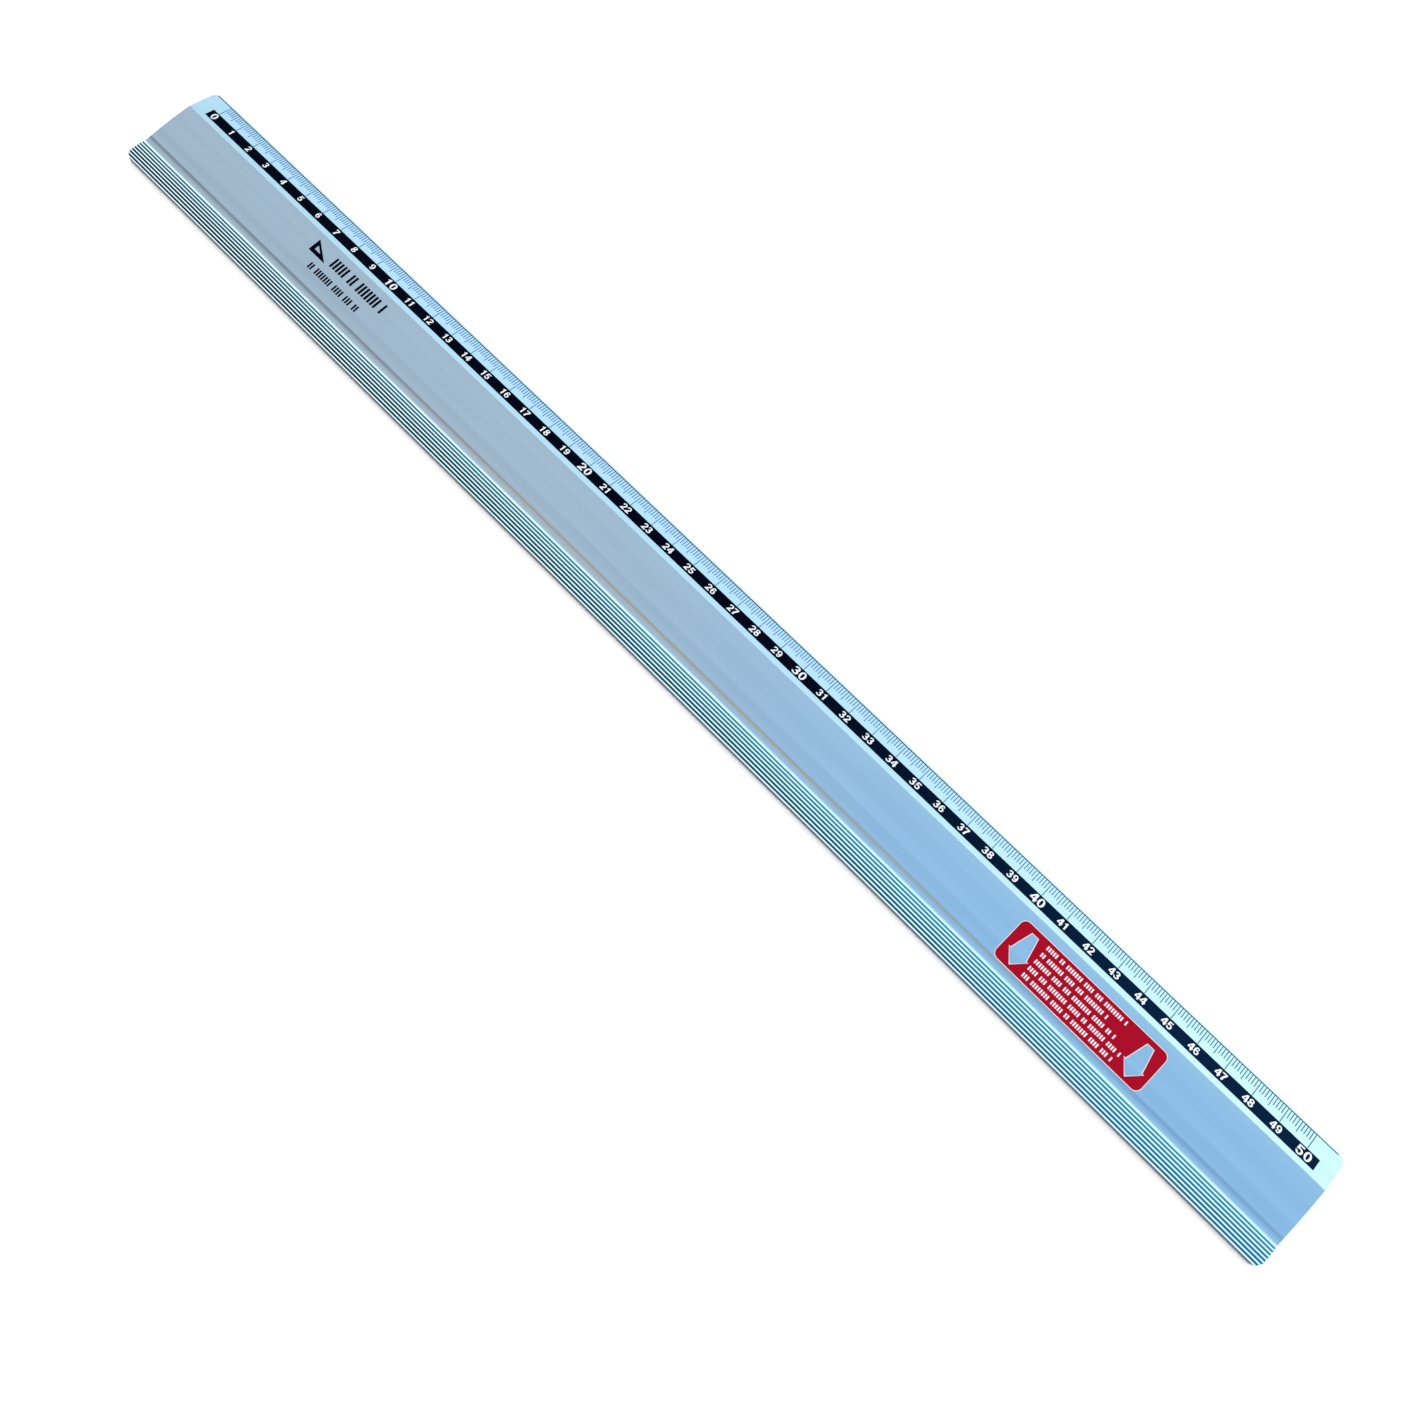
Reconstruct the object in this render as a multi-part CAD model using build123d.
"""Aluminium cutting ruler, 50 cm scale, with a stainless steel cutting edge.

Frame: millimetres. +X runs along the ruler, the way its numbers grow, +Y points across it to the thin
scale edge, and +Z points up. The origin is the middle of the footprint, on the surface that it lies on.

The cross-section is drawn as (inset, height): the inset is measured across the ruler from the scale edge
towards the cutting edge, and the height is measured up from the flat underside of the aluminium.
"""

import math
import os

from build123d import *

# Overall
LENGTH = 519.5
BODY_WIDTH = 41.2
CORNER_RADIUS = 2.8
STEEL_PROUD = 0.2
GRIP_PROUD = 0.2
WIDTH = BODY_WIDTH + STEEL_PROUD
CUTTER_HEIGHT = 10.0

# Scale bevel: a flat slope from the thin edge up to the crest
EDGE_THICKNESS = 0.78
CREST_INSET = 11.6
CREST_HEIGHT = 3.3
EDGE_ROUNDING = 0.22
CREST_ROUNDING = 0.6

# Broad face: a slightly crowned slope from the crest down to the finger valley
FACE_MIDDLE_INSET = 20.9
FACE_MIDDLE_HEIGHT = 3.17
VALLEY_INSET = 30.05
VALLEY_HEIGHT = 2.48
VALLEY_SAG = 0.08

# Ribbed grip: eight ridges over a low dome, beside the cutting edge
RIDGE_COUNT = 8
RIDGE_PITCH = 1.125
FIRST_RIDGE_INSET = 32.95
RIDGE_HALF_WIDTH = 0.32
RIDGE_SHOULDER = 0.17
GROOVE_DEPTH = 0.3
DOME_RADIUS = 18.3
DOME_HEIGHT = 3.09
DOME_INSET = FIRST_RIDGE_INSET + RIDGE_PITCH * (RIDGE_COUNT - 1) / 2
SIDE_SHOULDER = 0.2

# Underside: a relief channel between two dovetail grooves for the anti-slip strips
RELIEF_INSET = 21.0
RELIEF_WIDTH = 11.0
RELIEF_DEPTH = 1.3
RELIEF_ROUNDING = 0.5
GRIP_INSETS = {"antislip_strip_scale_side": 10.0, "antislip_strip_grip_side": 31.9}
GRIP_MOUTH = 5.0
GRIP_ROOT = 5.6
GRIP_DEPTH = 1.0

# Stainless steel strip, pressed into a slot in the ribbed side
STEEL_THICKNESS = 0.8
STEEL_WIDTH = 5.0
STEEL_BASE = 0.6

# Printed scale, on the bevel. Distances are measured down the slope from the scale edge.
SCALE_LENGTH = 500
ZERO_MARK_X = -LENGTH / 2 + 9.5
INK_THICKNESS = 0.04
EDGE_LINE_INSET = 0.71
EDGE_LINE_WIDTH = 0.3
EDGE_LINE_RUN_IN = 8.0
EDGE_LINE_RUN_OUT = 7.6
TICK_WIDTH = 0.25
TICK_MILLIMETRE = 2.9
TICK_HALF = 3.95
TICK_CENTIMETRE = 5.3
BAND_INSET = 6.14
BAND_WIDTH = 3.86
BAND_RUN_IN = 3.0
BAND_RUN_OUT = 4.5

# Vinyl label, on the broad face
LABEL_LENGTH = 55.9
LABEL_WIDTH = 15.0
LABEL_X = ZERO_MARK_X + 428.8
LABEL_INSET = 22.1
LABEL_CORNER = 2.3
LABEL_THICKNESS = 0.1
LABEL_GLUE = 0.02
ARROW_SPREAD = 44.3
ARROW_INSET = 22.4
ARROW_TAIL_WIDTH = 2.2
ARROW_NECK_WIDTH = 5.9
ARROW_HEAD_WIDTH = 7.0
ARROW_SHAFT = 7.5
ARROW_HEAD = 3.7


def at(inset, height):
    """A cross-section point as (Y, Z) in the ruler's frame."""
    return (WIDTH / 2 - inset, height + GRIP_PROUD)


def on_dome(inset, depth=0.0):
    """A cross-section point on the ribbed dome, or a little under it."""
    drop = DOME_RADIUS - math.sqrt(DOME_RADIUS**2 - (inset - DOME_INSET) ** 2)
    return at(inset, DOME_HEIGHT - drop - depth)


def broad_face_arc():
    return ThreePointArc(
        at(CREST_INSET, CREST_HEIGHT),
        at(FACE_MIDDLE_INSET, FACE_MIDDLE_HEIGHT),
        at(VALLEY_INSET, VALLEY_HEIGHT),
    )


def ridge_edges():
    """The ridges and the grooves between them, from the valley side to the cutting edge."""
    edges = []
    for number in range(RIDGE_COUNT):
        top = FIRST_RIDGE_INSET + number * RIDGE_PITCH
        near, far = top - RIDGE_HALF_WIDTH, top + RIDGE_HALF_WIDTH
        edges.append(
            ThreePointArc(on_dome(near, RIDGE_SHOULDER), on_dome(top), on_dome(far, RIDGE_SHOULDER))
        )
        if number < RIDGE_COUNT - 1:
            following = near + RIDGE_PITCH
            middle = (far + following) / 2
            edges.append(
                ThreePointArc(
                    on_dome(far, RIDGE_SHOULDER),
                    on_dome(middle, GROOVE_DEPTH),
                    on_dome(following, RIDGE_SHOULDER),
                )
            )
    return edges


def body_outline():
    """The aluminium section before the slots and grooves are taken out of it."""
    ridges = ridge_edges()
    valley_start = Vector(*at(VALLEY_INSET, VALLEY_HEIGHT))
    ribs_start = ridges[0] @ 0
    ribs_end = ridges[-1] @ 1
    valley_low = (valley_start + ribs_start) / 2 - Vector(0, VALLEY_SAG)
    side_top = Vector(*at(BODY_WIDTH, 0)) + Vector(0, ribs_end.Y - GRIP_PROUD - SIDE_SHOULDER)
    edges = [
        Line(at(0, 0), at(0, EDGE_THICKNESS)),
        Line(at(0, EDGE_THICKNESS), at(CREST_INSET, CREST_HEIGHT)),
        broad_face_arc(),
        ThreePointArc(valley_start, valley_low, ribs_start),
        *ridges,
        Line(ribs_end, side_top),
        Line(side_top, at(BODY_WIDTH, 0)),
        Line(at(BODY_WIDTH, 0), at(0, 0)),
    ]
    section = make_face(edges)
    edge_top = Vector(*at(0, EDGE_THICKNESS))
    crest = Vector(*at(CREST_INSET, CREST_HEIGHT))
    section = fillet(section.vertices().sort_by_distance(edge_top)[0], EDGE_ROUNDING)
    return fillet(section.vertices().sort_by_distance(crest)[0], CREST_ROUNDING)


def grip_section(centre):
    """The dovetail section of one anti-slip strip, which stands a little below the aluminium."""
    return make_face(
        Polyline(
            at(centre - GRIP_MOUTH / 2, -GRIP_PROUD),
            at(centre - GRIP_MOUTH / 2, 0),
            at(centre - GRIP_ROOT / 2, GRIP_DEPTH),
            at(centre + GRIP_ROOT / 2, GRIP_DEPTH),
            at(centre + GRIP_MOUTH / 2, 0),
            at(centre + GRIP_MOUTH / 2, -GRIP_PROUD),
            close=True,
        )
    )


def steel_section():
    """The steel strip's section, which sits in its slot and stands proud of the side."""
    outer = BODY_WIDTH + STEEL_PROUD
    return make_face(
        Polyline(
            at(outer - STEEL_WIDTH, STEEL_BASE),
            at(outer - STEEL_WIDTH, STEEL_BASE + STEEL_THICKNESS),
            at(outer, STEEL_BASE + STEEL_THICKNESS),
            at(outer, STEEL_BASE),
            close=True,
        )
    )


def relief_section():
    """The relief channel under the broad face, with rounded inner corners."""
    near, far = RELIEF_INSET - RELIEF_WIDTH / 2, RELIEF_INSET + RELIEF_WIDTH / 2
    channel = make_face(
        Polyline(at(near, 0), at(near, RELIEF_DEPTH), at(far, RELIEF_DEPTH), at(far, 0), close=True)
    )
    inner = channel.vertices().sort_by(Axis.Y)[-2:]
    return fillet(inner, RELIEF_ROUNDING)


def along_ruler(section, length=LENGTH, centre=0.0):
    """A section drawn in (Y, Z), pulled out along X."""
    placed = Plane.YZ.offset(centre) * section
    return extrude(placed, length / 2, both=True)


def footprint(width, centre_y, radius):
    """A tall block with the ruler's rounded plan, which trims what is drawn along the ruler."""
    plan = Pos(0, centre_y) * RectangleRounded(LENGTH, width, radius)
    return extrude(plan, CUTTER_HEIGHT, both=True)


def ruler_body():
    section = body_outline() - relief_section() - steel_section()
    for centre in GRIP_INSETS.values():
        section -= grip_section(centre)
    return along_ruler(section) & footprint(BODY_WIDTH, STEEL_PROUD / 2, CORNER_RADIUS)


def steel_cutting_edge():
    return along_ruler(steel_section()) & footprint(WIDTH, 0, CORNER_RADIUS)


def scale_plane(lift=0.0):
    """The bevel's own plane: x along the ruler from the zero mark, y down the slope to the edge."""
    low, high = at(0, EDGE_THICKNESS), at(CREST_INSET, CREST_HEIGHT)
    slope = math.atan2(high[1] - low[1], low[0] - high[0])
    normal = Vector(0, math.sin(slope), math.cos(slope))
    return Plane(origin=Vector(ZERO_MARK_X, *low) + normal * lift, x_dir=(1, 0, 0), z_dir=normal)


def tick_length(millimetre):
    if millimetre % 10 == 0:
        return TICK_CENTIMETRE
    if millimetre % 5 == 0:
        return TICK_HALF
    return TICK_MILLIMETRE


def scale_print():
    """The ink of the line along the edge, with every millimetre mark hanging from it like a comb."""
    outer = -EDGE_LINE_INSET + EDGE_LINE_WIDTH / 2
    inner = -EDGE_LINE_INSET - EDGE_LINE_WIDTH / 2
    points = [(SCALE_LENGTH + EDGE_LINE_RUN_OUT, outer), (-EDGE_LINE_RUN_IN, outer), (-EDGE_LINE_RUN_IN, inner)]
    for mark in range(SCALE_LENGTH + 1):
        left, right = mark - TICK_WIDTH / 2, mark + TICK_WIDTH / 2
        tip = -EDGE_LINE_INSET - tick_length(mark)
        points += [(left, inner), (left, tip), (right, tip), (right, inner)]
    points.append((SCALE_LENGTH + EDGE_LINE_RUN_OUT, inner))
    return extrude(scale_plane() * make_face(Polyline(*points, close=True)), INK_THICKNESS)


def number_band():
    """The ink of the dark band that carries the numbers."""
    length = BAND_RUN_IN + SCALE_LENGTH + BAND_RUN_OUT
    middle = (SCALE_LENGTH + BAND_RUN_OUT - BAND_RUN_IN) / 2
    band = Pos(middle, -BAND_INSET - BAND_WIDTH / 2) * Rectangle(length, BAND_WIDTH)
    return extrude(scale_plane() * band, INK_THICKNESS)


def arrow_window():
    """An arrow that points to the cutting edge, centred on its own length."""
    top = (ARROW_SHAFT + ARROW_HEAD) / 2
    neck = top - ARROW_SHAFT
    return make_face(
        Polyline(
            (-ARROW_TAIL_WIDTH / 2, top),
            (-ARROW_NECK_WIDTH / 2, neck),
            (-ARROW_HEAD_WIDTH / 2, neck),
            (0, -top),
            (ARROW_HEAD_WIDTH / 2, neck),
            (ARROW_NECK_WIDTH / 2, neck),
            (ARROW_TAIL_WIDTH / 2, top),
            close=True,
        )
    )


def cutting_edge_label():
    """A thin film that follows the broad face, with two arrow windows cut through it."""
    arc = broad_face_arc()
    underside = offset(arc, LABEL_GLUE, side=Side.RIGHT, closed=False)
    top = offset(arc, LABEL_GLUE + LABEL_THICKNESS, side=Side.RIGHT, closed=False)
    section = make_face([underside, top, Line(underside @ 0, top @ 0), Line(underside @ 1, top @ 1)])
    film = along_ruler(section, LABEL_LENGTH, LABEL_X)
    plan = RectangleRounded(LABEL_LENGTH, LABEL_WIDTH, LABEL_CORNER)
    for side in (-1, 1):
        plan -= Pos(side * ARROW_SPREAD / 2, LABEL_INSET - ARROW_INSET) * arrow_window()
    cutter = extrude(Pos(LABEL_X, at(LABEL_INSET, 0)[0]) * plan, CUTTER_HEIGHT)
    return film & cutter


def build():
    parts = {
        "ruler_body": ruler_body(),
        "steel_cutting_edge": steel_cutting_edge(),
        "scale_print": scale_print(),
        "number_band": number_band(),
        "cutting_edge_label": cutting_edge_label(),
    }
    for name, centre in GRIP_INSETS.items():
        parts[name] = along_ruler(grip_section(centre))
    return parts


def main():
    os.makedirs("parts", exist_ok=True)
    for name, shape in build().items():
        export_step(shape, f"parts/{name}.step")


main()
